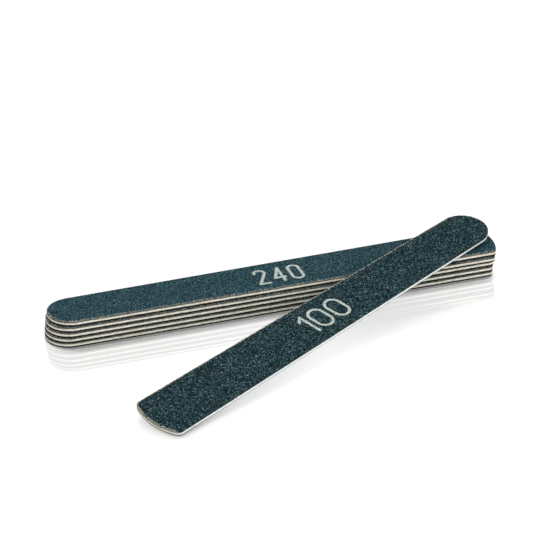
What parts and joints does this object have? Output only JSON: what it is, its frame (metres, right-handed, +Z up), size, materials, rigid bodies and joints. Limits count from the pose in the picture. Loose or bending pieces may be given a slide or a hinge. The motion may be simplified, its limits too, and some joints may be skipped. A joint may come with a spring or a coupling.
{
  "type": "emery board set",
  "caption": "Loose double-sided emery boards with one half-round and one shallow-arc end, lying in a stack with one board leaning on its edge.",
  "frame": {"origin": "middle of the lowest board's underside, on the surface that the set rests on", "axes": "+X along the stack towards the boards' wide ends, +Y away from the leaning board's near end, +Z up"},
  "size_m": [0.1794, 0.0948, 0.0161],
  "materials": {
    "grit": "dark blue-grey mineral grains in resin, rough",
    "backing_paper": "dark waterproof backing paper, matte",
    "glue_film": "dried adhesive film, satin",
    "core_board": "cream pressed wood-fibre board, die-cut matte edge"
  },
  "bodies": {
    "board_1": {"board_1_coarse_grit": "grit", "board_1_coarse_paper": "backing_paper", "board_1_coarse_glue": "glue_film", "board_1_core": "core_board", "board_1_fine_glue": "glue_film", "board_1_fine_paper": "backing_paper", "board_1_fine_grit": "grit"},
    "board_2": {"board_2_coarse_grit": "grit", "board_2_coarse_paper": "backing_paper", "board_2_coarse_glue": "glue_film", "board_2_core": "core_board", "board_2_fine_glue": "glue_film", "board_2_fine_paper": "backing_paper", "board_2_fine_grit": "grit"},
    "board_3": {"board_3_coarse_grit": "grit", "board_3_coarse_paper": "backing_paper", "board_3_coarse_glue": "glue_film", "board_3_core": "core_board", "board_3_fine_glue": "glue_film", "board_3_fine_paper": "backing_paper", "board_3_fine_grit": "grit"},
    "board_4": {"board_4_coarse_grit": "grit", "board_4_coarse_paper": "backing_paper", "board_4_coarse_glue": "glue_film", "board_4_core": "core_board", "board_4_fine_glue": "glue_film", "board_4_fine_paper": "backing_paper", "board_4_fine_grit": "grit"},
    "board_5": {"board_5_coarse_grit": "grit", "board_5_coarse_paper": "backing_paper", "board_5_coarse_glue": "glue_film", "board_5_core": "core_board", "board_5_fine_glue": "glue_film", "board_5_fine_paper": "backing_paper", "board_5_fine_grit": "grit"},
    "leaning_board": {"leaning_board_coarse_grit": "grit", "leaning_board_coarse_paper": "backing_paper", "leaning_board_coarse_glue": "glue_film", "leaning_board_core": "core_board", "leaning_board_fine_glue": "glue_film", "leaning_board_fine_paper": "backing_paper", "leaning_board_fine_grit": "grit"}
  },
  "joints": [
    {"name": "lift_board_2", "type": "slide", "parent": "board_1", "child": "board_2", "axis": [0, 0, 1], "range_m": [0, 0.03]},
    {"name": "lift_board_3", "type": "slide", "parent": "board_2", "child": "board_3", "axis": [0, 0, 1], "range_m": [0, 0.03]},
    {"name": "lift_board_4", "type": "slide", "parent": "board_3", "child": "board_4", "axis": [0, 0, 1], "range_m": [0, 0.03]},
    {"name": "lift_board_5", "type": "slide", "parent": "board_4", "child": "board_5", "axis": [0, 0, 1], "range_m": [0, 0.03]},
    {"name": "lift_leaning_board", "type": "slide", "parent": "board_5", "child": "leaning_board", "axis": [0, 0, 1], "range_m": [0, 0.03]}
  ]
}
